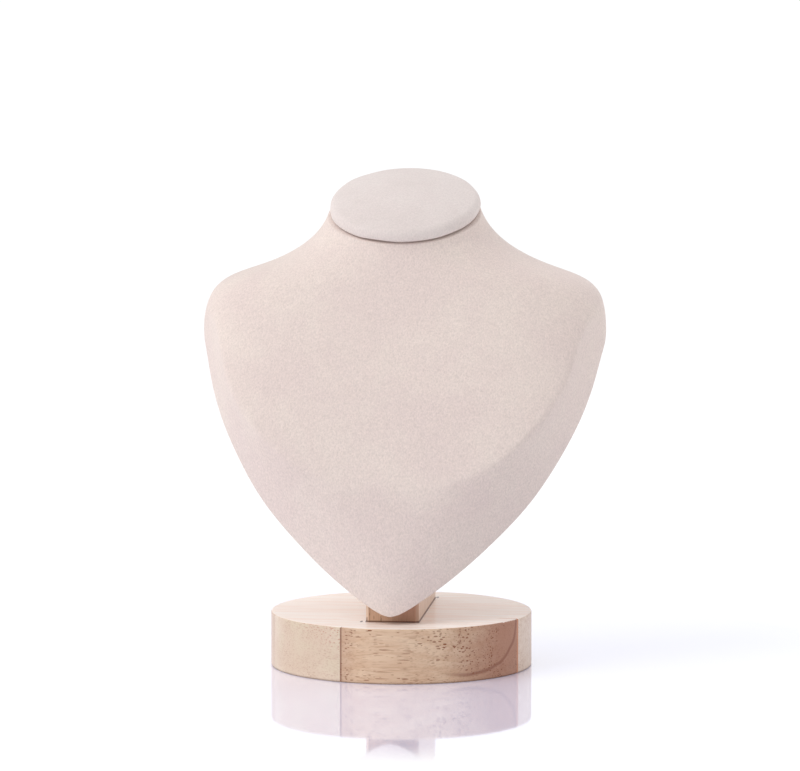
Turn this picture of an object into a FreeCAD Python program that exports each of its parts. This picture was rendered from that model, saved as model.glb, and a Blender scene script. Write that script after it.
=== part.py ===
import FreeCAD, Part
import math
import os

V = FreeCAD.Vector

# Base: a round cut from a laminated board
base_diameter = 90.0
base_thickness = 18.8
base_edge_ease = 0.5
strip_front_seam_y = -16.6
strip_rear_seam_y = 27.0
end_joint_x = -16.5
finger_length = 7.0
finger_pitch = 4.6

# Post: a plank on edge
post_width = 18.0
post_depth = 60.0
post_top_z = 122.0
post_edge_chamfer = 1.0
post_corner_radius = 8.0

# Bust
total_height = 170.0
shoulder_width = 140.0
lean_angle = 27.0
tip_y = -37.0
tip_z = 23.5
fabric_thickness = 0.8
shell_wall = 2.2
turned_edge_width = 7.0
opening_radius = 36.0
opening_station = 62.0
board_thickness = 3.0
board_inset = 1.5
crease_radius = 3.0
least_depth = 1.5
band_reach_back = 8.0
band_reach_front = 42.0

# Neck and cap
cap_radius = 26.0
cap_tilt = 23.0
neck_inset = 1.2
cap_board_thickness = 1.6
cap_crown = 4.0
cap_edge_height = 1.0
cap_edge_radius = 1.8
cap_fold_width = 7.0
cap_fold_roll = 0.2

# Wood screws
screw_diameter = 3.5
screw_head_diameter = 7.0
screw_head_height = 2.6
screw_tip_length = 4.0
screw_tip_radius = 0.3
cross_depth = 1.8
cross_width = 3.8
cross_blade = 1.0
post_screw_length = 35.0
post_screw_spacing = 34.0
post_screw_recess = 0.6
back_screw_length = 20.0
back_screw_stations = (40.0, 84.0)

# Tables in per cent: widths of the half shoulder, rises of the bust's height, depths of the cap's radius

# Half outline of the covered bust on its flat back: half width, rise along the slope
outline_shares = [
    (0.0, 0.0),
    (13.71, 2.94),
    (33.14, 10.38),
    (50.86, 18.77),
    (66.57, 27.85),
    (78.29, 37.2),
    (87.14, 46.08),
    (93.71, 55.29),
    (98.57, 65.53),
    (104.29, 75.09),
    (114.29, 84.64),
]

# Half of the crease between chest and side band: half width, rise along the slope, depth
crease_shares = [
    (0.0, 24.78, 67.7),
    (16.43, 25.26, 68.46),
    (32.29, 27.03, 69.62),
    (47.14, 30.58, 71.92),
    (60.57, 35.63, 73.08),
    (70.86, 41.37, 73.08),
    (78.86, 47.78, 71.92),
    (84.57, 55.29, 70.38),
    (89.43, 65.53, 65.38),
    (95.14, 75.09, 65.38),
    (105.14, 84.64, 65.38),
]

# Levels: rise, way from neck to shoulder width, rise share ahead of the back, depth, squareness
level_shares = [
    (-6.48, 77.88, 0.00, 10.23, 3.0),
    (16.72, 82.30, 0.00, 54.17, 3.0),
    (27.65, 88.94, 0.00, 76.68, 3.0),
    (38.57, 96.46, 0.00, 93.03, 3.0),
    (48.81, 100.00, 0.00, 104.73, 2.9),
    (57.68, 100.00, 0.00, 112.52, 2.8),
    (64.51, 99.56, 0.03, 117.31, 2.7),
    (69.28, 96.90, 0.22, 119.62, 2.6),
    (72.70, 90.71, 0.59, 120.38, 2.5),
    (74.88, 80.97, 1.02, 120.00, 2.4),
    (76.79, 63.72, 1.72, 118.08, 2.3),
    (78.84, 45.13, 2.63, 115.38, 2.2),
    (81.23, 30.09, 3.91, 111.54, 2.1),
    (83.96, 18.14, 5.78, 106.92, 2.0),
    (87.03, 9.29, 8.44, 103.08, 2.0),
    (90.44, 3.54, 11.54, 102.31, 2.0),
    (95.90, 0.00, 16.65, 103.85, 2.0),
    (104.10, -0.44, 24.37, 103.85, 2.0),
]
neck_ahead_share = 11.73
points_round = 24

half_shoulder = shoulder_width / 2.0
half_neck = cap_radius - neck_inset
bust_rise = total_height - tip_z
beyond = 2.0 * (total_height + shoulder_width)

lean = math.radians(lean_angle)
tilt = math.radians(cap_tilt)
slope_up = V(0.0, math.sin(lean), math.cos(lean))
slope_out = V(0.0, -math.cos(lean), math.sin(lean))
tip = V(0.0, tip_y, tip_z)
cap_axis = V(0.0, -math.sin(tilt), math.cos(tilt))

fold_back = -fabric_thickness
board_back = fold_back - board_thickness
panel_back = board_back - fabric_thickness

post_screw_places = (-post_screw_spacing / 2.0, post_screw_spacing / 2.0)

# Heights of the cap's layers above its seat
cap_fold_top = 2.0 * fabric_thickness
cap_board_top = cap_fold_top + cap_board_thickness
cap_edge_top = cap_board_top + cap_edge_height + fabric_thickness


def part_of(whole, share):
    return whole * share / 100.0


def on_back(x, up, out):
    """A point given by its side, its way up the slope and its depth in front of the flat back."""
    return tip + V(x, 0.0, 0.0) + slope_up * up + slope_out * out


def smooth_wire(points):
    curve = Part.BSplineCurve()
    curve.interpolate(points, PeriodicFlag=True)
    return Part.Wire([curve.toShape()])


def block_in_front_of_back(out):
    """A large block whose rear face is parallel to the flat back."""
    block = Part.makeBox(2.0 * beyond, 2.0 * beyond, beyond, V(-beyond, -beyond, 0.0))
    block.rotate(V(0, 0, 0), V(1, 0, 0), 90.0 - lean_angle)
    block.translate(on_back(0.0, 0.0, out))
    return block


def block_below_cap(rise):
    """A large block whose upper face is parallel to the seat of the cap."""
    block = Part.makeBox(2.0 * beyond, 2.0 * beyond, beyond, V(-beyond, -beyond, -beyond))
    block.rotate(V(0, 0, 0), V(1, 0, 0), cap_tilt)
    block.translate(cap_seat + cap_axis * rise)
    return block


def cap_side(inset):
    """Rim and crown of the covered cap, moved inward: points on its profile above the seat."""
    crown_radius = (cap_radius ** 2 + cap_crown ** 2) / (2.0 * cap_crown)
    crown_middle = cap_edge_top + cap_crown - crown_radius
    reach = crown_radius - cap_edge_radius
    corner_r = cap_radius - cap_edge_radius
    corner_c = crown_middle + math.sqrt(reach ** 2 - corner_r ** 2)
    turn = math.asin(corner_r / reach)
    edge = cap_edge_radius - inset
    crown = crown_radius - inset
    half_turn = turn / 2.0
    edge_turn = (turn + math.pi / 2.0) / 2.0
    rim = V(corner_r + edge, 0, corner_c)
    shoulder = V(corner_r + edge * math.sin(edge_turn), 0, corner_c + edge * math.cos(edge_turn))
    meeting = V(crown * math.sin(turn), 0, crown_middle + crown * math.cos(turn))
    dome = V(crown * math.sin(half_turn), 0, crown_middle + crown * math.cos(half_turn))
    pole = V(0, 0, crown_middle + crown)
    return rim, shoulder, meeting, dome, pole


def highest_of_cap():
    """How far the covered cap reaches above the middle of its seat."""
    rim = cap_side(0.0)[0]
    across = (cap_radius - cap_edge_radius) * math.sin(tilt)
    return across + rim.z * math.cos(tilt) + cap_edge_radius


def place_of_cap():
    z = total_height - highest_of_cap()
    y = tip_y + (z - tip_z) * math.tan(lean) - part_of(bust_rise, neck_ahead_share)
    return V(0.0, y, z)


cap_seat = place_of_cap()


def lay_on_cap_seat(shape):
    shape.rotate(V(0, 0, 0), V(1, 0, 0), cap_tilt)
    shape.translate(cap_seat)
    return shape


def level_sizes(rise, spread, ahead, depth, square):
    """A level's height, half width, front, middle and squareness."""
    up = part_of(bust_rise, rise)
    half = half_neck + part_of(half_shoulder - half_neck, spread)
    middle = tip_y + up * math.tan(lean) - part_of(bust_rise, ahead)
    return tip_z + up, half, middle - part_of(cap_radius, depth), middle, square


def grown_levels(grow):
    """The levels moved outward by the growth, across the silhouette and the front alike."""
    levels = []
    plain = [level_sizes(*shares) for shares in level_shares]
    last = len(plain) - 1
    for i, (z, half, front, middle, square) in enumerate(plain):
        below = plain[max(i - 1, 0)]
        above = plain[min(i + 1, last)]
        rise = above[0] - below[0]
        side_slope = (above[1] - below[1]) / rise
        front_slope = (above[2] - below[2]) / rise
        side_length = math.hypot(1.0, side_slope)
        shift = -grow * side_slope / side_length
        new_half = half + grow / side_length
        new_front = front + shift * front_slope - grow * math.hypot(1.0, front_slope)
        new_front = min(new_front, middle - least_depth)
        levels.append((z + shift, new_half, new_front, middle, square))
    return levels


def level_wire(z, half, front, middle, square):
    """A closed curve, round at the neck and squarer at the chest, with its seam at the rear."""
    depth = middle - front
    points = []
    for i in range(points_round):
        turn = 2.0 * math.pi * i / points_round - math.pi / 2.0
        side = math.cos(turn)
        ahead = math.sin(turn)
        x = math.copysign(abs(side) ** (2.0 / square), side) * half
        y = middle - math.copysign(abs(ahead) ** (2.0 / square), ahead) * depth
        points.append(V(x, y, z))
    return smooth_wire(points)


def rounded_form(grow):
    wires = [level_wire(*level) for level in grown_levels(grow)]
    return Part.makeLoft(wires, True, False, False, 3)


def both_sides(half):
    """A line from its far left end through its middle to its far right end."""
    mirrored = [V(-p.x, p.y, p.z) for p in half[1:]]
    return mirrored[::-1] + half


def half_outline():
    points = []
    for x, up in outline_shares:
        points.append(V(part_of(half_shoulder, x), part_of(bust_rise, up), 0.0))
    return points


def half_crease():
    points = []
    for x, up, out in crease_shares:
        width = part_of(half_shoulder, x)
        points.append(V(width, part_of(bust_rise, up), part_of(cap_radius, out)))
    return points


def band_points(grow, out):
    """Where the side band, moved outward by the growth, crosses a plane parallel to the back."""
    edge = both_sides(half_outline())
    crease = both_sides(half_crease())
    points = []
    last = len(edge) - 1
    for i in range(len(edge)):
        along = edge[min(i + 1, last)] - edge[max(i - 1, 0)]
        across = crease[i] - edge[i]
        outward = along.cross(across)
        outward.normalize()
        moved = edge[i] + outward * grow
        moved = moved + across * ((out - moved.z) / across.z)
        points.append(on_back(moved.x, moved.y, out))
    return points


def outline_stations():
    """How far along the outline each of its points is, from one end to the other."""
    line = half_outline()
    half = [0.0]
    for here, following in zip(line, line[1:]):
        half.append(half[-1] + (following - here).Length)
    return [-d for d in reversed(half[1:])] + half


def band_wire(grow, out):
    points = band_points(grow, out)
    curve = Part.BSplineCurve()
    curve.interpolate(points, Parameters=outline_stations())
    right = on_back(shoulder_width, 1.5 * bust_rise, out)
    left = on_back(-shoulder_width, 1.5 * bust_rise, out)
    closing = Part.makePolygon([points[-1], right, left, points[0]])
    return Part.Wire([curve.toShape()] + closing.Edges)


def band_form(grow):
    """The tapered V that gives the lower chest its flat side band."""
    ends = [band_wire(grow, -band_reach_back), band_wire(grow, band_reach_front)]
    return Part.makeLoft(ends, True, True)


def is_crease(edge, form):
    """The crease lies between the chest and the side band, the two curved faces."""
    faces = form.ancestorsOfType(edge, Part.Face)
    curved = [f for f in faces if f.Surface.TypeId == "Part::GeomBSplineSurface"]
    return len(curved) == 2


def bust_form(grow, back, rise):
    """The bust between its flat back and its neck, moved outward by the growth."""
    form = rounded_form(grow).common(band_form(grow))
    form = form.common(block_in_front_of_back(back))
    form = form.common(block_below_cap(rise)).Solids[0]
    creases = [e for e in form.Edges if is_crease(e, form)]
    return form.makeFillet(crease_radius, creases)


def back_face(grow):
    """The bust's outline on its flat back, as a face."""
    form = rounded_form(grow).common(band_form(grow))
    form = form.common(block_in_front_of_back(0.0))
    form = form.common(block_below_cap(0.0))
    flat = [f for f in form.Faces if abs((f.CenterOfMass - tip).dot(slope_out)) < 0.001]
    return flat[0]


def plate(face, start, end):
    """A plate parallel to the flat back between two depths."""
    lower = face.copy()
    lower.translate(slope_out * min(start, end))
    return lower.extrude(slope_out * abs(end - start))


def cap_revolved(edges):
    face = Part.Face(Part.Wire(edges))
    solid = face.revolve(V(0, 0, 0), V(0, 0, 1), 360.0)
    return lay_on_cap_seat(solid)


def cap_edges(inset, bottom):
    """The profile's edges from the rim at the bottom height up to the pole."""
    rim, shoulder, meeting, dome, pole = cap_side(inset)
    foot = V(rim.x, 0, bottom)
    side = Part.makeLine(foot, rim)
    corner = Part.Arc(rim, shoulder, meeting).toShape()
    crown = Part.Arc(meeting, dome, pole).toShape()
    return foot, [side, corner, crown], pole


def make_cap_board():
    disc = Part.makeCylinder(cap_radius - fabric_thickness, cap_board_thickness, V(0, 0, cap_fold_top))
    return lay_on_cap_seat(disc)


def make_cap_pad():
    foot, edges, pole = cap_edges(fabric_thickness, cap_board_top)
    middle = V(0, 0, cap_board_top)
    edges.append(Part.makeLine(pole, middle))
    edges.append(Part.makeLine(middle, foot))
    return cap_revolved(edges)


def make_cap_cover():
    """Outer skin with a rolled lower edge, turned under the board."""
    foot, outer, pole = cap_edges(0.0, cap_fold_top + cap_fold_roll)
    inner_foot, inner, inner_pole = cap_edges(fabric_thickness, cap_fold_top)
    fold_bottom = cap_fold_top - fabric_thickness
    roll = fabric_thickness + cap_fold_roll
    in_corner = roll * (1.0 - math.sqrt(0.5))
    bend = V(foot.x - in_corner, 0, fold_bottom + in_corner)
    under = V(foot.x - roll, 0, fold_bottom)
    fold_end = V(cap_radius - cap_fold_width, 0, fold_bottom)
    fold_end_top = V(cap_radius - cap_fold_width, 0, cap_fold_top)
    edges = [Part.Arc(under, bend, foot).toShape()]
    edges += outer
    edges.append(Part.makeLine(pole, inner_pole))
    edges += inner
    edges.append(Part.makeLine(inner_foot, fold_end_top))
    edges.append(Part.makeLine(fold_end_top, fold_end))
    edges.append(Part.makeLine(fold_end, under))
    return cap_revolved(Part.__sortEdges__(edges))


def is_flat(face):
    return face.Surface.TypeId == "Part::GeomPlane"


def curved_faces(form):
    return [f for f in form.Faces if not is_flat(f)]


def flat_face(form, normal):
    """The form's flat face that looks along the normal."""
    flat = [f for f in form.Faces if is_flat(f)]
    return max(flat, key=lambda f: f.normalAt(0, 0).dot(normal))


def walls(face, direction):
    """The side walls that a face's outline sweeps along a direction."""
    return face.OuterWire.extrude(direction).Faces


def ring(face, hole):
    """A flat face with a hole in it."""
    return Part.Face([face.OuterWire, hole.OuterWire])


def moved(face, direction):
    copy = face.copy()
    copy.translate(direction)
    return copy


def closed_solid(faces):
    skin = Part.makeShell(faces)
    skin.sewShape()
    solid = Part.makeSolid(skin)
    if solid.Volume < 0.0:
        solid.reverse()
    return solid


def back_opening():
    """The round opening in the shell's flat back."""
    circle = Part.makeCircle(opening_radius, on_back(0.0, opening_station, 0.0), slope_out)
    return Part.Face(Part.Wire([circle]))


def make_shell(moulded):
    """Hollow form with a round opening in its flat back, closed at the neck."""
    inside = bust_form(-fabric_thickness - shell_wall, shell_wall, -shell_wall)
    rim = slope_out * shell_wall
    opening = back_opening()
    faces = curved_faces(moulded) + curved_faces(inside)
    faces.append(flat_face(moulded, cap_axis))
    faces.append(flat_face(inside, cap_axis))
    faces.append(ring(flat_face(moulded, slope_out * -1.0), opening))
    faces.append(ring(flat_face(inside, slope_out * -1.0), moved(opening, rim)))
    faces += walls(opening, rim)
    return closed_solid(faces)


def neck_hole(rise):
    radius = cap_radius - cap_fold_width
    circle = Part.makeCircle(radius, cap_seat + cap_axis * rise, cap_axis)
    return Part.Face(Part.Wire([circle]))


def make_front_cover(moulded):
    """Skin over the form, turned over its rear edge and in over its neck."""
    outer = bust_form(0.0, fold_back, fabric_thickness)
    behind = slope_out * fold_back
    above = cap_axis * fabric_thickness
    faces = curved_faces(outer) + curved_faces(moulded)
    faces.append(ring(flat_face(moulded, slope_out * -1.0), fold_inner_face))
    faces.append(ring(flat_face(outer, slope_out * -1.0), moved(fold_inner_face, behind)))
    faces += walls(fold_inner_face, behind)
    faces.append(ring(flat_face(moulded, cap_axis), neck_hole(0.0)))
    faces.append(ring(flat_face(outer, cap_axis), neck_hole(fabric_thickness)))
    faces += walls(neck_hole(0.0), above)
    return closed_solid(faces)


def make_back_board():
    board = plate(board_face, board_back, fold_back)
    return board.cut(Part.makeCompound(back_screw_bodies()))


def make_back_cover():
    tray = plate(panel_face, panel_back, fold_back)
    tray = tray.cut(plate(board_face, board_back, fold_back))
    return tray.cut(Part.makeCompound(back_screw_bodies()))


def screw(length):
    """A countersunk wood screw, head up, its flat top at the origin."""
    head_r = screw_head_diameter / 2.0
    body_r = screw_diameter / 2.0
    cone = Part.makeCone(body_r, head_r, screw_head_height, V(0, 0, -screw_head_height))
    shank_length = length - screw_head_height - screw_tip_length
    shank = Part.makeCylinder(body_r, shank_length, V(0, 0, screw_tip_length - length))
    point = Part.makeCone(screw_tip_radius, body_r, screw_tip_length, V(0, 0, -length))
    return cone.fuse([shank, point]).removeSplitter()


def cross_recess():
    """The driver's cross in the head."""
    long = cross_width / 2.0
    short = cross_blade / 2.0
    first = Part.makeBox(cross_width, cross_blade, cross_depth, V(-long, -short, -cross_depth))
    second = Part.makeBox(cross_blade, cross_width, cross_depth, V(-short, -long, -cross_depth))
    return first.fuse(second)


def place_post_screw(shape, y):
    shape.rotate(V(0, 0, 0), V(1, 0, 0), 180.0)
    shape.translate(V(0, y, post_screw_recess))
    return shape


def place_back_screw(shape, station):
    """Head flush with the board's front, pointing back into the post."""
    shape.rotate(V(0, 0, 0), V(1, 0, 0), 90.0 - lean_angle)
    shape.translate(on_back(0.0, station, fold_back))
    return shape


def post_screw_bodies():
    return [place_post_screw(screw(post_screw_length), y) for y in post_screw_places]


def back_screw_bodies():
    return [place_back_screw(screw(back_screw_length), s) for s in back_screw_stations]


def make_post_screws():
    body = screw(post_screw_length).cut(cross_recess())
    return Part.makeCompound([place_post_screw(body.copy(), y) for y in post_screw_places])


def make_back_screws():
    body = screw(back_screw_length).cut(cross_recess())
    return Part.makeCompound([place_back_screw(body.copy(), s) for s in back_screw_stations])


def make_post():
    """Plank on edge: chamfered front edges, sloped front, rounded upper rear corner."""
    post = Part.makeBox(post_width, post_depth, post_top_z - base_thickness)
    post.translate(V(-post_width / 2.0, -post_depth / 2.0, base_thickness))
    upright = [e for e in post.Edges if abs(e.tangentAt(e.FirstParameter).z) > 0.9]
    post = post.makeChamfer(post_edge_chamfer, upright)
    rear_top = [e for e in post.Edges if is_rear_top(e)]
    post = post.makeFillet(post_corner_radius, rear_top)
    post = post.cut(block_in_front_of_back(panel_back))
    return post.cut(Part.makeCompound(post_screw_bodies() + back_screw_bodies()))


def is_rear_top(edge):
    box = edge.BoundBox
    at_rear = box.YMin > post_depth / 2.0 - 0.01
    return at_rear and box.ZMin > post_top_z - 0.01


def base_disc():
    disc = Part.makeCylinder(base_diameter / 2.0, base_thickness)
    disc = disc.makeFillet(base_edge_ease, [e for e in disc.Edges if len(e.Vertexes) == 1])
    head_r = screw_head_diameter / 2.0
    bores = [Part.makeCylinder(head_r, post_screw_recess, V(0, y, 0)) for y in post_screw_places]
    return disc.cut(bores + post_screw_bodies())


def strip(y_from, y_to):
    return Part.makeBox(2.0 * beyond, y_to - y_from, 2.0 * beyond, V(-beyond, y_from, -beyond))


def finger_prism():
    """Everything left of the zigzag end joint in the front strip."""
    seam = strip_front_seam_y
    points = [V(-beyond, seam, -beyond), V(end_joint_x, seam, -beyond)]
    y = strip_front_seam_y
    side = 1.0
    while y > -base_diameter / 2.0:
        finger_end = end_joint_x + side * finger_length / 2.0
        points.append(V(finger_end, y - finger_pitch / 4.0, -beyond))
        points.append(V(end_joint_x, y - finger_pitch / 2.0, -beyond))
        y -= finger_pitch / 2.0
        side = -side
    points.append(V(end_joint_x, -beyond, -beyond))
    points.append(V(-beyond, -beyond, -beyond))
    points.append(points[0])
    return Part.Face(Part.makePolygon(points)).extrude(V(0, 0, 2.0 * beyond))


def write(node, shape):
    shape.exportStep("parts/" + node + ".step")


os.makedirs("parts", exist_ok=True)

fold_inner_face = back_face(-turned_edge_width)
panel_face = back_face(-board_inset)
board_face = back_face(-board_inset - fabric_thickness)

disc = base_disc()
front_strip = disc.common(strip(-beyond, strip_front_seam_y))
write("base_left_block", front_strip.common(finger_prism()))
write("base_front_block", front_strip.cut(finger_prism()))
write("base_middle_strip", disc.common(strip(strip_front_seam_y, strip_rear_seam_y)))
write("base_rear_strip", disc.common(strip(strip_rear_seam_y, beyond)))
write("post", make_post())
write("post_screws", make_post_screws())
moulded_form = bust_form(-fabric_thickness, 0.0, 0.0)
write("bust_shell", make_shell(moulded_form))
write("front_cover", make_front_cover(moulded_form))
write("back_board", make_back_board())
write("back_cover", make_back_cover())
write("back_screws", make_back_screws())
write("cap_board", make_cap_board())
write("cap_pad", make_cap_pad())
write("cap_cover", make_cap_cover())
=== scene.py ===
import math

import bmesh
import bpy
import numpy as np
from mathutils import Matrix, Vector
from mathutils.bvhtree import BVHTree


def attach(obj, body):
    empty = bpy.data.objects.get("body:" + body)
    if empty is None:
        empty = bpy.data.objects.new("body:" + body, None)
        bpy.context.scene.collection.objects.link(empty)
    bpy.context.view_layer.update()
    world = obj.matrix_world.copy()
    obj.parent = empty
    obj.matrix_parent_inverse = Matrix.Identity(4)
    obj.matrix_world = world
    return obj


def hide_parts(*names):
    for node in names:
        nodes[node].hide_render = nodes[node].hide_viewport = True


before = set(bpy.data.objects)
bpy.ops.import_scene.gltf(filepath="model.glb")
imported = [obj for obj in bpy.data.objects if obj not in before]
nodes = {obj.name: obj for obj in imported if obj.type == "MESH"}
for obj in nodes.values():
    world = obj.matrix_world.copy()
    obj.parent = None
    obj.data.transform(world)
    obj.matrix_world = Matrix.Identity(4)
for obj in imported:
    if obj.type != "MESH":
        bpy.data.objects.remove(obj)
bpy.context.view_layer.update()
scene = bpy.context.scene

MM = 0.001

# Sizes and places of the part in millimetres, the same as in its construction
BASE_RADIUS = 45.0
BASE_THICKNESS = 18.8
FRONT_SEAM_Y = -16.6
END_JOINT_X = -16.5
POST_HALF_WIDTH = 9.0
POST_HALF_DEPTH = 30.0
FABRIC = 0.8
PANEL_BACK = -4.6
CAP_RADIUS = 26.0
CAP_CROWN = 4.0
CAP_EDGE_TOP = 5.0
TIP = np.array([0.0, -37.0, 23.5])
CAP_SEAT = np.array([0.0, 13.05, 155.365])

# Directions: up along the bust's flat back, out from it to the front, to the right, and the cap's axis
LEAN = math.radians(27.0)
TILT = math.radians(23.0)
UP = np.array([0.0, math.sin(LEAN), math.cos(LEAN)])
OUT = np.array([0.0, -math.cos(LEAN), math.sin(LEAN)])
SIDE = np.array([1.0, 0.0, 0.0])
CAP_AXIS = np.array([0.0, -math.sin(TILT), math.cos(TILT)])

# Soft edges of the cloth in millimetres: roundings, folds and how far an edge stays inside the solid
INSET = 0.02
EDGE_WIDTH = 0.9
TURN_IN = 8.0
NECK_ROLL = 0.6
NECK_FOLD = 5.0
PANEL_ROLL = 1.3
CAP_EDGE_RADIUS = 3.1
CAP_LOWER_EDGE = 1.42
CAP_LOWER_RADIUS = 0.8
CAP_UNEVEN_WIDTH = 6.0

# Heights along the bust's back in millimetres: its first row, the gaps between rows from there on,
# where the rows begin to turn towards the cap and to move forward, and the middle of the back panel
LOWEST_ROW = -1.5
FIRST_GAP = 0.12
WIDEST_GAP = 0.8
GAP_GROWTH = 0.09
TIP_DROP = 1.66
TURN_FROM = 15.0
FORWARD_FROM = 50.0
PANEL_MIDDLE = 80.0

# Rays that find the cloth on its solid, how far out they start in millimetres, and points of the meshes
RAY_START = 150.0
BUST_RAYS = 421
PANEL_RAYS = 480
FINE_POINTS = 1601
WALL_POINTS = 251
CAP_SIDES = 288
PANEL_SIDES = 720

# Camera fitted to the photograph
IMAGE_WIDTH = 800
SENSOR_WIDTH = 36.0
AZIMUTH = math.radians(6.0)
PITCH = math.radians(5.57)
DISTANCE = 1.5
EYE_HEIGHT = 0.2429
FOCAL_PIXELS = 4378.8
SIDE_PIXELS = 1.4


def srgb(r, g, b):
    """A colour as it looks on screen, 0 to 255, turned into the shader's linear values."""
    out = []
    for c in (r, g, b):
        c = c / 255.0
        out.append(c / 12.92 if c <= 0.04045 else ((c + 0.055) / 1.055) ** 2.4)
    return (out[0], out[1], out[2], 1.0)


def grey(value):
    """A grey in the shader's linear values."""
    return (value, value, value, 1.0)


# Material helpers
class Nodes:
    """A short way to lay out the nodes of a material or of the world."""

    def __init__(self, owner, coordinates="Object"):
        owner.use_nodes = True
        self.owner = owner
        self.tree = owner.node_tree
        self.place = self.add("ShaderNodeTexCoord").outputs[coordinates]

    def add(self, kind, **values):
        node = self.tree.nodes.new(kind)
        for key, value in values.items():
            setattr(node, key, value)
        return node

    def link(self, source, target):
        self.tree.links.new(source, target)

    def put(self, socket, value):
        """Links an output to the socket, or sets a plain value on it."""
        if hasattr(value, "is_output"):
            self.link(value, socket)
        else:
            socket.default_value = value

    def axis(self, name):
        return self.component(self.place, name)

    def component(self, vector, name):
        split = self.add("ShaderNodeSeparateXYZ")
        self.link(vector, split.inputs[0])
        return split.outputs[name]

    def stretched(self, scale, turn=(0.0, 0.0, 0.0), shift=(0.0, 0.0, 0.0)):
        node = self.add("ShaderNodeMapping")
        self.link(self.place, node.inputs["Vector"])
        node.inputs["Scale"].default_value = scale
        node.inputs["Rotation"].default_value = turn
        node.inputs["Location"].default_value = shift
        return node.outputs["Vector"]

    def noise(self, vector, scale, detail=4.0, rough=0.55, warp=0.0):
        node = self.add("ShaderNodeTexNoise")
        self.link(vector, node.inputs["Vector"])
        node.inputs["Scale"].default_value = scale
        node.inputs["Detail"].default_value = detail
        node.inputs["Roughness"].default_value = rough
        node.inputs["Distortion"].default_value = warp
        return node.outputs["Fac"]

    def cells(self, vector, scale):
        node = self.add("ShaderNodeTexVoronoi", feature="F1")
        self.link(vector, node.inputs["Vector"])
        node.inputs["Scale"].default_value = scale
        return node

    def math(self, operation, a, b=0.0, c=0.0):
        node = self.add("ShaderNodeMath", operation=operation)
        for socket, value in zip(node.inputs, (a, b, c)):
            self.put(socket, value)
        return node.outputs[0]

    def plus(self, a, b):
        return self.math("ADD", a, b)

    def minus(self, a, b):
        return self.math("SUBTRACT", a, b)

    def times(self, a, b):
        return self.math("MULTIPLY", a, b)

    def size_of(self, value):
        return self.math("ABSOLUTE", value)

    def length(self, a, b):
        return self.math("SQRT", self.plus(self.times(a, a), self.times(b, b)))

    def step(self, value, low, high, to_low=0.0, to_high=1.0, kind="SMOOTHSTEP"):
        node = self.add("ShaderNodeMapRange", interpolation_type=kind)
        self.put(node.inputs["Value"], value)
        node.inputs["From Min"].default_value = low
        node.inputs["From Max"].default_value = high
        node.inputs["To Min"].default_value = to_low
        node.inputs["To Max"].default_value = to_high
        return node.outputs["Result"]

    def mix(self, factor, a, b, blend="MIX"):
        """A mix of two colours, whose sockets are 6 and 7 in, and 2 out."""
        node = self.add("ShaderNodeMix", data_type="RGBA", blend_type=blend)
        self.put(node.inputs[0], factor)
        self.put(node.inputs[6], a)
        self.put(node.inputs[7], b)
        return node.outputs[2]

    def paint(self, color, where, share, tint):
        """The colour with a share of the tint wherever the mask is 1."""
        return self.mix(self.times(where, share), color, tint)

    def bump(self, height, distance, strength=1.0, below=None):
        node = self.add("ShaderNodeBump")
        node.inputs["Distance"].default_value = distance
        node.inputs["Strength"].default_value = strength
        self.link(height, node.inputs["Height"])
        if below is not None:
            self.link(below, node.inputs["Normal"])
        return node.outputs["Normal"]

    def two_shaders(self, kind, first, second):
        """A node that adds or mixes two shaders, whose last two inputs are the shaders."""
        node = self.add(kind)
        self.link(first.outputs[0], node.inputs[-2])
        self.link(second.outputs[0], node.inputs[-1])
        return node

    def surface(self, sockets):
        """Sets or links the shader's sockets and gives the finished material."""
        shader = self.tree.nodes["Principled BSDF"]
        for name, value in sockets.items():
            self.put(shader.inputs[name], value)
        return self.owner


def give(piece, material):
    """Makes the material the piece's only one."""
    piece.data.materials.clear()
    piece.data.materials.append(material)


def add_object(name, data):
    """A mesh, lamp or camera as an object in the scene."""
    thing = bpy.data.objects.new(name, data)
    scene.collection.objects.link(thing)
    return thing


# Cloth material
def microfibre(name, light, dark, nap=1.0):
    """Short brushed nap: soft mottling, fine specks of lighter and darker fibres, a velvet edge."""
    m = Nodes(bpy.data.materials.new(name))
    patches = m.noise(m.stretched((1.0, 1.0, 1.0)), 38.0, detail=3.0, rough=0.6, warp=0.4)
    brushed = m.noise(m.stretched((1.0, 1.0, 0.45), turn=(0.0, 0.25, 0.1)), 240.0, detail=4.0, rough=0.6)
    specks = m.noise(m.stretched((1.0, 1.0, 0.8)), 1550.0, detail=3.0, rough=0.75)
    fibres = m.noise(m.stretched((1.0, 1.0, 0.4), turn=(0.3, 0.2, 0.0)), 2700.0, detail=2.0, rough=0.6)
    pinker = (light[0] * 0.985, light[1] * 0.965, light[2] * 0.972, 1.0)
    color = m.mix(m.step(patches, 0.35, 0.66), light, dark)
    color = m.mix(m.step(brushed, 0.42, 0.64, 0.0, 0.4), color, pinker)
    grain = m.plus(m.times(specks, 0.65), m.times(fibres, 0.35))
    shade = m.step(grain, 0.34, 0.66, 1.0 - 0.13 * nap, 1.0 + 0.11 * nap, "LINEAR")
    tone = m.add("ShaderNodeCombineColor")
    for socket in ("Red", "Green", "Blue"):
        m.link(shade, tone.inputs[socket])
    low = m.bump(brushed, distance=0.35 * MM, strength=0.35)
    return m.surface({
        "Base Color": m.mix(1.0, color, tone.outputs["Color"], "MULTIPLY"),
        "Roughness": 0.93,
        "Specular IOR Level": 0.18,
        "Sheen Weight": 0.32,
        "Sheen Roughness": 0.42,
        "Sheen Tint": (1.0, 0.96, 0.94, 1.0),
        "Normal": m.bump(grain, distance=0.30 * MM, strength=0.6 * nap, below=low),
    })


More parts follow.
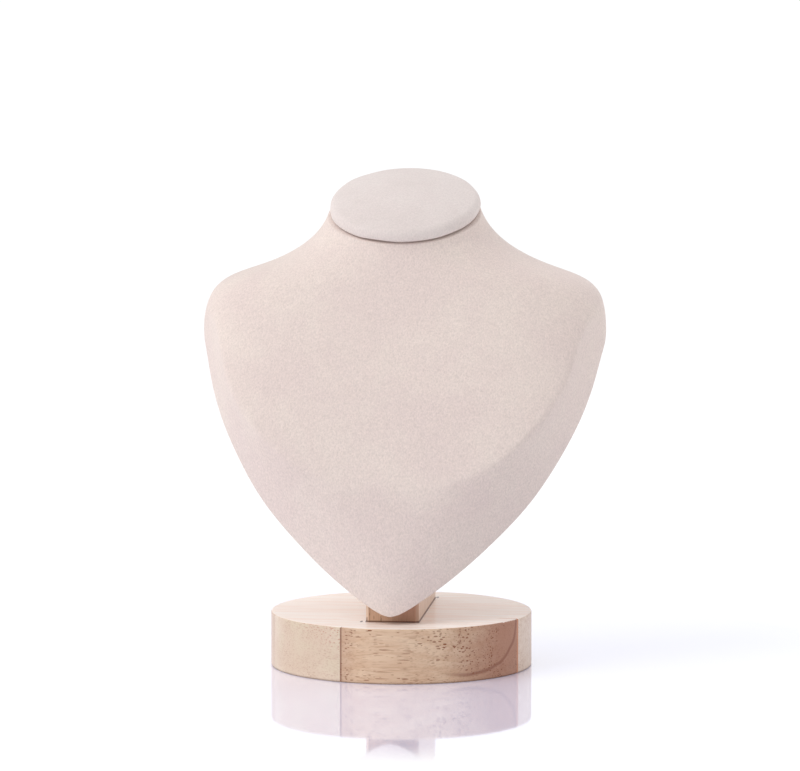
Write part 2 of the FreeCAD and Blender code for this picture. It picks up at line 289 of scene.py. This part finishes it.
# Wood, with its lengths in metres. The pores come in two kinds: long and thin, or short and small
RING_PITCH = 0.0046
RING_WANDER = 0.010
PORE_KINDS = (
    {"stretch": 0.075, "scale": 1500.0, "power": 1.3, "shift": 0.0},
    {"stretch": 0.24, "scale": 2100.0, "power": 2.4, "shift": 3.0},
)
PORE_SIZE = 0.50
# Painted shade along the bottom edge of the base, where it meets the floor
BOTTOM_SHADE = srgb(120, 84, 66)
# Painted contact shadow round the foot of the post
FOOT_SHADOW = srgb(92, 54, 38)

# Painted light: the face painted paler, as if washed out by the light, for each way of the grain: its
# side, how much, and its two tones
PAINTED_LIGHT_FACES = {
    "x": ("Z", 0.92, srgb(255, 245, 238), srgb(251, 230, 218)),
    "z": ("X", 0.6, srgb(245, 224, 206), srgb(234, 204, 182)),
}


def wood(name, pale, tan, pore, heart, grain="x", pores=1.0, rings=1.0, seed=0.0, blotch=None, marks=None):
    """Solid timber: growth rings about a heart line along the grain, short open pores and soft streaks."""
    m = Nodes(bpy.data.materials.new(name))
    y, z = m.axis("Y"), m.axis("Z")
    up = z if grain == "x" else m.axis("X")

    def lines(stretch, shift):
        """Coordinates drawn out along the grain."""
        scale = (stretch, 1.0, 1.0) if grain == "x" else (1.0, 1.0, stretch)
        return m.stretched(scale, shift=shift)

    wander = m.noise(lines(0.2, (seed, seed, 0)), 30.0, detail=3.0)
    from_heart = m.length(m.minus(y, heart[0]), m.minus(up, heart[1]))
    radius = m.plus(from_heart, m.times(wander, RING_WANDER))
    phase = m.math("FRACT", m.math("DIVIDE", radius, RING_PITCH))
    late = m.step(phase, 0.35, 0.95)
    fall = m.step(phase, 0.95, 1.0, 1.0, 0.0)
    ring = m.times(m.times(late, fall), rings)
    broad = m.noise(lines(0.3, (0, seed, seed)), 42.0, detail=3.0)
    streaks = m.noise(lines(0.05, (seed * 3, 0, seed)), 520.0, detail=4.0, rough=0.65)
    fine = m.noise(lines(0.07, (seed, seed * 2, 0)), 2100.0, detail=3.0, rough=0.6)
    color = m.mix(m.step(broad, 0.34, 0.66), pale, tan)
    color = m.paint(color, ring, 0.5, tan)
    color = m.mix(m.step(streaks, 0.42, 0.68, 0.0, 0.6), color, tan)
    if blotch is not None:
        color = blotch(m, color, radius)
    color = m.mix(m.step(fine, 0.45, 0.75, 0.0, 0.3), color, pore)

    pore_mark = 0.0
    for kind in PORE_KINDS:
        dots = m.cells(lines(kind["stretch"], (seed, kind["shift"], seed)), kind["scale"])
        split = m.add("ShaderNodeSeparateColor")
        m.link(dots.outputs["Color"], split.inputs[0])
        size = m.times(m.math("POWER", split.outputs[0], kind["power"]), PORE_SIZE)
        mark = m.step(m.minus(size, dots.outputs["Distance"]), 0.0, 0.10)
        pore_mark = m.math("MAXIMUM", pore_mark, mark)
    groups = m.noise(lines(0.35, (0, seed * 5, 0)), 120.0, detail=3.0)
    pore_mark = m.times(m.times(pore_mark, m.step(groups, 0.38, 0.62, 0.12, 1.0)), pores)
    color = m.mix(pore_mark, color, pore)
    # Painted shade: a darker band along the bottom edge, where the base meets the floor
    color = m.mix(m.step(z, 0.1 * MM, 0.9 * MM, 0.45, 0.0), color, BOTTOM_SHADE)

    # Painted light: the top faces of the base and the right face of the post are painted paler
    side, most, lit_pale, lit_tan = PAINTED_LIGHT_FACES[grain]
    facing = m.component(m.add("ShaderNodeNewGeometry").outputs["Normal"], side)
    painted_light = m.mix(m.step(streaks, 0.40, 0.66), lit_pale, lit_tan)
    color = m.mix(m.step(facing, 0.6, 0.9, 0.0, most), color, painted_light)
    if marks is not None:
        color = marks(m, color)
    ridge = m.bump(fine, distance=0.03 * MM, strength=0.5)
    return m.surface({
        "Base Color": color,
        "Roughness": m.step(fine, 0.3, 0.7, 0.48, 0.62),
        "Specular IOR Level": 0.3,
        "Coat Weight": 0.3,
        "Coat Roughness": 0.16,
        "Coat IOR": 1.5,
        "Normal": m.bump(m.minus(1.0, pore_mark), distance=0.12 * MM, strength=0.8, below=ridge),
    })


def red_heart(m, color, radius):
    """The front block darkens and reddens to the right, past a curved growth line."""
    x = m.axis("X")
    warm = m.plus(x, m.times(m.noise(m.stretched((0.5, 1.0, 1.0)), 70.0, detail=3.0), 0.012))
    color = m.paint(color, m.step(warm, 0.023, 0.044), 0.78, srgb(164, 106, 82))
    line = m.step(m.size_of(m.minus(radius, 0.0235)), 0.0002, 0.0010, 1.0, 0.0)
    far = m.step(x, 0.016, 0.027)
    color = m.paint(color, m.times(line, far), 0.55, srgb(122, 58, 34))
    near_end = m.step(x, END_JOINT_X * MM, (END_JOINT_X + 7.0) * MM, 1.0, 0.0)
    return m.paint(color, near_end, 0.4, srgb(176, 134, 114))


def green_cream(m, color, radius):
    """The left block: patches of greenish cream, and small reddish dashes towards its upper right."""
    patch = m.noise(m.stretched((0.6, 1.0, 1.0), shift=(0.3, 0.0, 0.0)), 95.0, detail=3.0, rough=0.6)
    color = m.paint(color, m.step(patch, 0.44, 0.62), 0.45, srgb(222, 208, 182))
    dash = m.cells(m.stretched((0.4, 1.0, 1.0)), 1500.0)
    mark = m.step(dash.outputs["Distance"], 0.14, 0.40, 1.0, 0.0)
    corner = m.step(m.plus(m.times(m.axis("X"), 0.5), m.axis("Z")), -0.003, 0.006)
    return m.paint(color, m.times(mark, corner), 0.75, srgb(196, 132, 110))


def post_stripe_and_painted_edge(m, color, radius):
    """A darker, redder stripe on the post's right part; at its left, a painted highlight as a pale strip
    along the edge, with a painted shade line beside it.
    """
    x = m.axis("X")
    edge = m.plus(x, m.times(m.noise(m.stretched((1.0, 1.0, 0.1)), 160.0, detail=2.0), 0.004))
    color = m.paint(color, m.step(edge, -0.001, 0.006), 0.75, srgb(168, 120, 98))
    # Painted highlight along the left edge, and a painted shade line beside it
    color = m.mix(m.step(x, -0.0083, -0.0080, 0.45, 0.0), color, srgb(246, 226, 208))
    dark = m.step(m.size_of(m.plus(x, 0.0077)), 0.0001, 0.0003, 0.35, 0.0)
    return m.mix(dark, color, srgb(110, 68, 48))


def post_foot_shadow(m, color):
    """Painted contact shadow: a dark line round the foot of the post, where it stands on the base."""
    low, high = (BASE_THICKNESS + 0.3) * MM, (BASE_THICKNESS + 0.7) * MM
    return m.paint(color, m.step(m.axis("Z"), low, high, 1.0, 0.0), 0.75, FOOT_SHADOW)


def base_foot_shadow(m, color):
    """Painted contact shadow on the base round the foot of the post: a dark line along its edges and two
    small dark spots at two of its corners.
    """
    x, y = m.axis("X"), m.axis("Y")
    out_x = m.minus(m.size_of(x), POST_HALF_WIDTH * MM)
    out_y = m.minus(m.size_of(y), POST_HALF_DEPTH * MM)
    line = m.step(m.math("MAXIMUM", out_x, out_y), 0.15 * MM, 0.4 * MM, 1.0, 0.0)
    color = m.paint(color, line, 0.8, FOOT_SHADOW)
    # Two small painted shadow spots at corners of the post's foot
    size, slimness = 0.0006, 0.3
    for spot_x, spot_y in ((0.0097, 0.0300), (-0.0106, -0.0290)):
        away = m.length(m.minus(x, spot_x), m.times(m.minus(y, spot_y), slimness))
        color = m.paint(color, m.step(away, size * 0.6, size, 1.0, 0.0), 0.9, srgb(62, 40, 32))
    return color


def front_lines(m, color):
    """The front block's glue lines: at its end joint on the left and along the strip behind it."""
    x, y = m.axis("X"), m.axis("Y")
    side_face = m.step(m.size_of(x), 0.034, 0.036)
    behind = m.step(y, (FRONT_SEAM_Y - 1.2) * MM, (FRONT_SEAM_Y - 0.7) * MM)
    color = m.paint(color, m.times(behind, side_face), 0.8, srgb(206, 138, 100))
    end = m.step(x, (END_JOINT_X + 0.4) * MM, (END_JOINT_X + 0.9) * MM, 0.75, 0.0)
    rim = m.step(m.length(x, y), (BASE_RADIUS - 1.0) * MM, (BASE_RADIUS - 0.6) * MM)
    color = m.mix(m.times(end, rim), color, srgb(132, 86, 64))
    # Painted contact shadow on the base round the foot of the post
    return base_foot_shadow(m, color)


# Hidden pieces
def plain_grained(name, color, specks, rough, metal=0.0, scale=900.0, depth=0.00006):
    """A hidden or small part's material: one tone broken up by fine specks and scuffs."""
    m = Nodes(bpy.data.materials.new(name))
    grain = m.noise(m.stretched((1.0, 1.0, 1.0)), scale, detail=4.0, rough=0.65)
    scuffs = m.noise(m.stretched((1.0, 1.0, 1.0)), scale * 0.12, detail=3.0, rough=0.5)
    worn = tuple(min(c * 1.12, 1.0) for c in color[:3]) + (1.0,)
    tone = m.mix(m.step(grain, 0.38, 0.64), color, specks)
    return m.surface({
        "Base Color": m.mix(m.step(scuffs, 0.52, 0.7, 0.0, 0.5), tone, worn),
        "Roughness": m.step(scuffs, 0.3, 0.7, rough - 0.06, rough + 0.08),
        "Metallic": metal,
        "Normal": m.bump(grain, distance=depth, strength=0.5),
    })


# Materials of all pieces
cloth = microfibre("microfibre_bust", srgb(234, 219, 211), srgb(230, 213, 207))
cap_cloth = microfibre("microfibre_cap", srgb(231, 220, 216), srgb(226, 214, 210), 0.7)
back_cloth = microfibre("microfibre_back", srgb(229, 212, 205), srgb(222, 203, 197))
pale_left = wood(
    "wood_pale_left", srgb(233, 215, 196), srgb(219, 196, 174), srgb(180, 130, 104), (0.06, 0.03),
    pores=0.3, rings=0.3, seed=1.3, blotch=green_cream, marks=base_foot_shadow)
tan_front = wood(
    "wood_tan_front", srgb(230, 201, 172), srgb(211, 173, 141), srgb(142, 84, 52), (-0.037, 0.0205),
    rings=0.8, seed=4.1, blotch=red_heart, marks=front_lines)
pale_middle = wood(
    "wood_pale_middle", srgb(232, 212, 195), srgb(215, 189, 168), srgb(172, 126, 102), (0.01, -0.05),
    pores=0.4, rings=0.5, seed=7.7, marks=base_foot_shadow)
pale_rear = wood(
    "wood_pale_rear", srgb(230, 208, 187), srgb(213, 183, 158), srgb(168, 122, 96), (-0.02, 0.07),
    pores=0.6, rings=0.6, seed=2.9, marks=base_foot_shadow)
post_wood = wood(
    "wood_post", srgb(238, 206, 178), srgb(218, 180, 150), srgb(128, 84, 60), (0.08, 0.03), grain="z",
    pores=0.8, rings=0.8, seed=5.5, blotch=post_stripe_and_painted_edge, marks=post_foot_shadow)
steel = plain_grained(
    "zinc_steel", srgb(196, 192, 182), srgb(168, 166, 160), 0.34, metal=1.0, scale=1400.0)
moulded = plain_grained("moulded_form", srgb(214, 208, 198), srgb(200, 193, 182), 0.6)
board = plain_grained(
    "fibreboard", srgb(158, 124, 92), srgb(128, 98, 70), 0.8, scale=1600.0, depth=0.00012)
foam = plain_grained(
    "pad_foam", srgb(236, 232, 218), srgb(214, 208, 190), 0.85, scale=1200.0, depth=0.0002)

for node_name, node_material in {
    "base_left_block": pale_left,
    "base_front_block": tan_front,
    "base_middle_strip": pale_middle,
    "base_rear_strip": pale_rear,
    "post": post_wood,
    "post_screws": steel,
    "back_screws": steel,
    "bust_shell": moulded,
    "back_board": board,
    "cap_board": board,
    "cap_pad": foam,
    "front_cover": cloth,
    "back_cover": back_cloth,
    "cap_cover": cap_cloth,
}.items():
    give(nodes[node_name], node_material)


# Cloth shapes
def smooth(t):
    """A soft step from 0 to 1."""
    t = min(max(t, 0.0), 1.0)
    return t * t * (3.0 - 2.0 * t)


def surface_of(name):
    """A CAD solid's surface, for rays to hit."""
    mesh = nodes[name].data
    corners = [v.co.copy() for v in mesh.vertices]
    return BVHTree.FromPolygons(corners, [tuple(p.vertices) for p in mesh.polygons])


def outermost(tree, middle, way):
    """The outermost point of a solid along a ray from a middle point, in millimetres."""
    start = Vector((middle + way * RAY_START) * MM)
    hit = tree.ray_cast(start, Vector(-way))[0]
    return None if hit is None else np.array(hit) / MM


def bend(a, corner, b, count):
    """Points of a rounded corner between two points, both ends left out."""
    points = []
    for i in range(1, count + 1):
        t = i / (count + 1.0)
        points.append((1 - t) ** 2 * a + 2 * t * (1 - t) * corner + t * t * b)
    return points


def evenly(points, count):
    """Points at equal distances along a line through the given ones."""
    points = np.array(points)
    steps = np.linalg.norm(np.diff(points, axis=0), axis=1)
    length = np.concatenate([[0.0], np.cumsum(steps)])
    wanted = np.linspace(0.0, length[-1], count)
    return np.stack([np.interp(wanted, length, points[:, k]) for k in range(3)], axis=1)


def unit(vectors):
    """The vectors, each brought to a length of 1."""
    return vectors / np.linalg.norm(vectors, axis=1)[:, None]


def grid_piece(name, rows, material, closed=False):
    """A mesh of four-sided faces through rows of points in millimetres."""
    rows = np.array(rows) * MM
    count, wide = rows.shape[:2]
    faces = []
    for i in range(count - 1):
        for j in range(wide if closed else wide - 1):
            k = (j + 1) % wide
            faces.append((i * wide + j, i * wide + k, (i + 1) * wide + k, (i + 1) * wide + j))
    mesh = bpy.data.meshes.new(name)
    mesh.from_pydata([tuple(v) for v in rows.reshape(-1, 3)], [], faces)
    form = bmesh.new()
    form.from_mesh(mesh)
    bmesh.ops.remove_doubles(form, verts=form.verts[:], dist=0.000005)
    bmesh.ops.recalc_face_normals(form, faces=form.faces[:])
    for face in form.faces:
        face.smooth = True
    form.to_mesh(mesh)
    form.free()
    piece = add_object(name, mesh)
    give(piece, material)
    return piece


def relaxed(rows, times, first, last):
    """Rows evened out a little, so that no facet of the solid shows through the cloth."""
    rows = np.array(rows)
    for _ in range(times):
        inner = rows[first:last, 1:-1]
        around = rows[first - 1:last - 1, 1:-1] + rows[first + 1:last + 1, 1:-1]
        around = around + rows[first:last, :-2] + rows[first:last, 2:]
        rows[first:last, 1:-1] = inner * 0.5 + around * 0.125
    return rows


def bust_places():
    """For each row from the tip to the neck: its middle, its lean and how far out of the back it lies."""
    top = CAP_SEAT + CAP_AXIS * (FABRIC - NECK_ROLL)
    top_up = float((top - TIP) @ UP)
    top_out = float((top - TIP) @ OUT)
    ups = [LOWEST_ROW]
    while ups[-1] < top_up:
        ups.append(ups[-1] + min(WIDEST_GAP, FIRST_GAP + GAP_GROWTH * (ups[-1] - LOWEST_ROW)))
    ups[-1] = top_up
    places = []
    for up in ups:
        out = -FABRIC + (top_out + FABRIC) * smooth((up - FORWARD_FROM) / (top_up - FORWARD_FROM))
        lean = LEAN - (LEAN + TILT) * smooth((up - TURN_FROM) / (top_up - TURN_FROM))
        places.append((TIP + UP * up + OUT * out, lean, out))
    corner = CAP_SEAT + CAP_AXIS * (FABRIC - INSET)
    places.append((corner, -TILT, float((corner - TIP) @ OUT)))
    return places


def bust_row(tree, middle, lean, out):
    """One row: the cloth turned in behind the right edge, the wall round the front, and the left edge."""
    ahead = np.array([0.0, -math.cos(lean), math.sin(lean)])
    back = (out + FABRIC - INSET) / math.cos(LEAN - lean)
    edge = outermost(tree, middle - ahead * back, SIDE)
    half = 0.001 if edge is None else abs(edge[0])
    if edge is None:
        round_rear = outermost(tree, middle, -ahead)
        back = float(np.linalg.norm(round_rear - middle))
    start = math.atan2(-back, half)
    wall = []
    for turn in np.linspace(start, math.pi - start, BUST_RAYS):
        hit = outermost(tree, middle, SIDE * math.cos(turn) + ahead * math.sin(turn))
        if hit is not None:
            wall.append(hit)

    short = min(EDGE_WIDTH, 0.45 * half)
    dense = evenly(wall, FINE_POINTS)
    length = np.linalg.norm(np.diff(dense, axis=0), axis=1).sum()
    cut = int(math.ceil(short / length * (FINE_POINTS - 1)))
    front = evenly(dense[cut:FINE_POINTS - cut], WALL_POINTS)
    left, right = wall[-1] - ahead * INSET, wall[0] - ahead * INSET
    depths = [half if half < TURN_IN + 1.0 else TURN_IN, min(3.0, 0.5 * half), short]
    first = [right - SIDE * depth for depth in depths]
    last = [left + SIDE * depth for depth in reversed(depths)]
    row = first + bend(first[-1], right, front[0], 3) + list(front)
    return row + bend(front[-1], left, last[0], 3) + last


def bust_rows():
    """Rows across the bust, square to its flat back at the tip and in line with the cap at the neck."""
    tree = surface_of("front_cover")
    rows = np.array([bust_row(tree, *place) for place in bust_places()])
    body = relaxed(rows[:-1], 5, 6, len(rows) - 2)
    tip = np.repeat((TIP - UP * TIP_DROP - OUT * FABRIC)[None], body.shape[1], axis=0)
    corner = rows[-1]
    inward = unit(CAP_SEAT + CAP_AXIS * FABRIC - corner)
    edge = corner + inward * NECK_ROLL
    fold = corner + inward * NECK_FOLD
    return [tip] + list(body) + bend(body[-1], corner, edge, 4) + [edge, fold]


def waves(angle, parts):
    """The sum of sine waves round a ring, each given by its height, count and start."""
    return sum(height * math.sin(count * angle + start) for height, count, start in parts)


def cap_rows():
    """Rings of the cap from its pole, over its soft rim and under its edge, which isn't quite even."""
    crown_radius = (CAP_RADIUS ** 2 + CAP_CROWN ** 2) / (2.0 * CAP_CROWN)
    crown_middle = CAP_EDGE_TOP + CAP_CROWN - crown_radius
    reach = crown_radius - CAP_EDGE_RADIUS
    rim_radius = CAP_RADIUS - CAP_EDGE_RADIUS
    rim_height = crown_middle + math.sqrt(reach ** 2 - rim_radius ** 2)
    turn = math.asin(rim_radius / reach)
    low, under, seat = CAP_LOWER_EDGE, CAP_LOWER_RADIUS, FABRIC
    profile = []
    for t in np.linspace(0.0, turn, 40):
        profile.append((crown_radius * math.sin(t), crown_middle + crown_radius * math.cos(t)))
    for t in np.linspace(turn, math.pi / 2.0, 12)[1:]:
        radius, height = CAP_EDGE_RADIUS * math.sin(t), CAP_EDGE_RADIUS * math.cos(t)
        profile.append((rim_radius + radius, rim_height + height))
    profile.append((CAP_RADIUS + 0.05, (rim_height + low + under) / 2.0))
    for t in np.linspace(0.0, math.pi / 2.0, 9):
        profile.append((CAP_RADIUS - under + under * math.cos(t), low + under - under * math.sin(t)))
    profile += [(CAP_RADIUS - 3.5, low), (CAP_RADIUS - 5.0, low - 0.1), (CAP_RADIUS - 6.5, seat)]
    profile += [(9.0, seat), (0.0, seat)]

    across = np.cross(CAP_AXIS, SIDE)
    rows = []
    for radius, height in profile:
        near_edge = smooth((radius - CAP_RADIUS + CAP_UNEVEN_WIDTH) / CAP_UNEVEN_WIDTH)
        lower = smooth((rim_height + 0.6 - height) / 3.0)
        ring = []
        for j in range(CAP_SIDES):
            angle = 2.0 * math.pi * j / CAP_SIDES
            way = SIDE * math.cos(angle) + across * math.sin(angle)
            rise = waves(angle, ((0.16, 3, 0.8), (0.11, 7, 2.1), (0.07, 13, 0.4)))
            lift = 0.16 * math.exp(-((angle - 5.35) / 0.55) ** 2)
            reach_out = radius + near_edge * waves(angle, ((0.10, 5, 1.0), (0.06, 11, 0.0)))
            reach_up = height + near_edge * (rise * (0.35 + 0.3 * lower) + lift * lower)
            ring.append(CAP_SEAT + CAP_AXIS * max(reach_up, seat) + way * reach_out)
        rows.append(ring)
    return rows


def panel_rows():
    """Rings of the back panel's cloth, from under the bust's edge, round the board and over its rear."""
    tree = surface_of("back_cover")
    centre = TIP + UP * PANEL_MIDDLE
    outline = []
    for j in range(PANEL_RAYS):
        angle = 2.0 * math.pi * j / PANEL_RAYS
        way = SIDE * math.cos(angle) + UP * math.sin(angle)
        outline.append(outermost(tree, centre - OUT * 2.6, way))
    outline = evenly(outline + outline[:1], PANEL_SIDES + 1)[:-1]
    for _ in range(6):
        outline = outline * 0.5 + (np.roll(outline, 1, axis=0) + np.roll(outline, -1, axis=0)) * 0.25
    around = np.roll(outline, -1, axis=0) - np.roll(outline, 1, axis=0)
    inward = unit(np.cross(OUT, around))
    if ((centre - outline) * inward).sum() < 0.0:
        inward = -inward

    base = outline - np.outer((outline - TIP) @ OUT, OUT)
    front = base - OUT * (FABRIC + INSET)
    rows = [front + inward * 1.2, front, base - OUT * 1.6, base + OUT * (PANEL_BACK + PANEL_ROLL)]
    for t in np.linspace(0.0, math.pi / 2.0, 7)[1:]:
        behind = PANEL_BACK + PANEL_ROLL - PANEL_ROLL * math.sin(t)
        rows.append(base + OUT * behind + inward * PANEL_ROLL * (1.0 - math.cos(t)))
    rim = rows[-1]
    rear_middle = centre + OUT * PANEL_BACK
    for share in (0.985, 0.96, 0.9, 0.8, 0.65, 0.5, 0.35, 0.2, 0.1, 0.0):
        rows.append(rear_middle + (rim - rear_middle) * share)
    return rows


# Cloth pieces
bust_cover = grid_piece("bust_cloth", bust_rows(), cloth)
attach(bust_cover, "root")
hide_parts("front_cover")

cap = grid_piece("cap_cloth", cap_rows(), cap_cloth, closed=True)
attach(cap, "root")
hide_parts("cap_cover")

back_panel = grid_piece("back_cloth", panel_rows(), back_cloth, closed=True)
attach(back_panel, "root")
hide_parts("back_cover")


# Studio, in metres
def floor_material():
    """White further out, a grey mirror near the object, and dimmer in the light that it throws back."""
    m = Nodes(bpy.data.materials.new("studio_floor"))
    reach = m.length(m.axis("X"), m.axis("Y"))
    fore = m.step(reach, 0.156, 0.200)
    matt = m.add("ShaderNodeBsdfDiffuse")
    m.put(matt.inputs["Color"], m.mix(fore, (0.42, 0.43, 0.53, 1.0), grey(1.0)))
    mirror = m.add("ShaderNodeBsdfGlossy")
    m.put(mirror.inputs["Color"], m.mix(fore, grey(0.61), grey(0.10)))
    m.put(mirror.inputs["Roughness"], 0.04)
    dim = m.add("ShaderNodeBsdfDiffuse")
    m.put(dim.inputs["Color"], (0.30, 0.29, 0.31, 1.0))
    seen = m.two_shaders("ShaderNodeAddShader", matt, mirror)
    either = m.two_shaders("ShaderNodeMixShader", seen, dim)
    near = m.step(reach, 0.10, 0.45, 0.20, 0.04)
    bounced = m.add("ShaderNodeLightPath").outputs["Is Diffuse Ray"]
    m.put(either.inputs[0], m.times(bounced, near))
    m.link(either.outputs[0], m.tree.nodes["Material Output"].inputs["Surface"])
    return m.owner


def studio_world():
    """Soft light, brighter from above and from the left, which the camera and mirrors see as white."""
    m = Nodes(bpy.data.worlds.new("studio"), "Generated")
    sky = m.tree.nodes["Background"]
    m.put(sky.inputs["Color"], (0.985, 0.99, 1.0, 1.0))
    by_height = m.math("MULTIPLY_ADD", m.axis("Z"), 0.46, 0.41)
    m.put(sky.inputs["Strength"], m.math("MULTIPLY_ADD", m.axis("X"), -0.08, by_height))
    white = m.add("ShaderNodeBackground")
    m.put(white.inputs["Color"], grey(1.0))
    m.put(white.inputs["Strength"], 1.0)
    rays = m.add("ShaderNodeLightPath").outputs
    straight = m.math("MAXIMUM", rays["Is Camera Ray"], rays["Is Glossy Ray"])
    either = m.two_shaders("ShaderNodeMixShader", sky, white)
    m.put(either.inputs[0], m.math("MAXIMUM", straight, rays["Is Transmission Ray"]))
    m.link(either.outputs[0], m.tree.nodes["World Output"].inputs["Surface"])
    return m.owner


def aim(holder, way):
    """Points a lamp or the camera along a direction."""
    holder.rotation_euler = Vector(way).to_track_quat("-Z", "Y").to_euler()


def softbox(name, place, target, size, watts):
    """A rectangular lamp that neither the camera nor a mirror sees."""
    lamp = bpy.data.lights.new(name, "AREA")
    lamp.shape = "RECTANGLE"
    lamp.size, lamp.size_y = size
    lamp.energy = watts
    holder = add_object(name, lamp)
    holder.location = place
    holder.visible_camera = False
    holder.visible_glossy = False
    aim(holder, Vector(target) - Vector(place))


FLOOR_REACH = 40.0
floor_mesh = bpy.data.meshes.new("studio_floor")
floor_corners = [(x * FLOOR_REACH, y * FLOOR_REACH, 0) for x, y in ((-1, -1), (1, -1), (1, 1), (-1, 1))]
floor_mesh.from_pydata(floor_corners, [], [(0, 1, 2, 3)])
floor = add_object("studio_floor", floor_mesh)
give(floor, floor_material())
scene.world = studio_world()

softbox("right_rim", (0.75, 0.45, 0.4), (0.0, 0.0, 0.12), (0.5, 0.8), 1.6)
softbox("left_rim", (-0.75, 0.45, 0.4), (0.0, 0.0, 0.12), (0.5, 0.8), 0.7)
key = bpy.data.lights.new("key", "SUN")
key.energy = 1.08
key.angle = math.radians(38.0)
aim(add_object("key", key), (0.62, 0.42, -0.66))

# Camera
camera = bpy.data.cameras.new("camera")
camera.sensor_width = SENSOR_WIDTH
camera.lens = FOCAL_PIXELS * SENSOR_WIDTH / IMAGE_WIDTH
camera.shift_x = -SIDE_PIXELS / IMAGE_WIDTH
camera.clip_start = 0.05
camera.clip_end = 60.0
eye = add_object("camera", camera)
eye.location = (math.sin(AZIMUTH) * DISTANCE, -math.cos(AZIMUTH) * DISTANCE, EYE_HEIGHT)
level = math.cos(PITCH)
aim(eye, (-math.sin(AZIMUTH) * level, math.cos(AZIMUTH) * level, -math.sin(PITCH)))
scene.camera = eye

scene.view_settings.view_transform = "Standard"
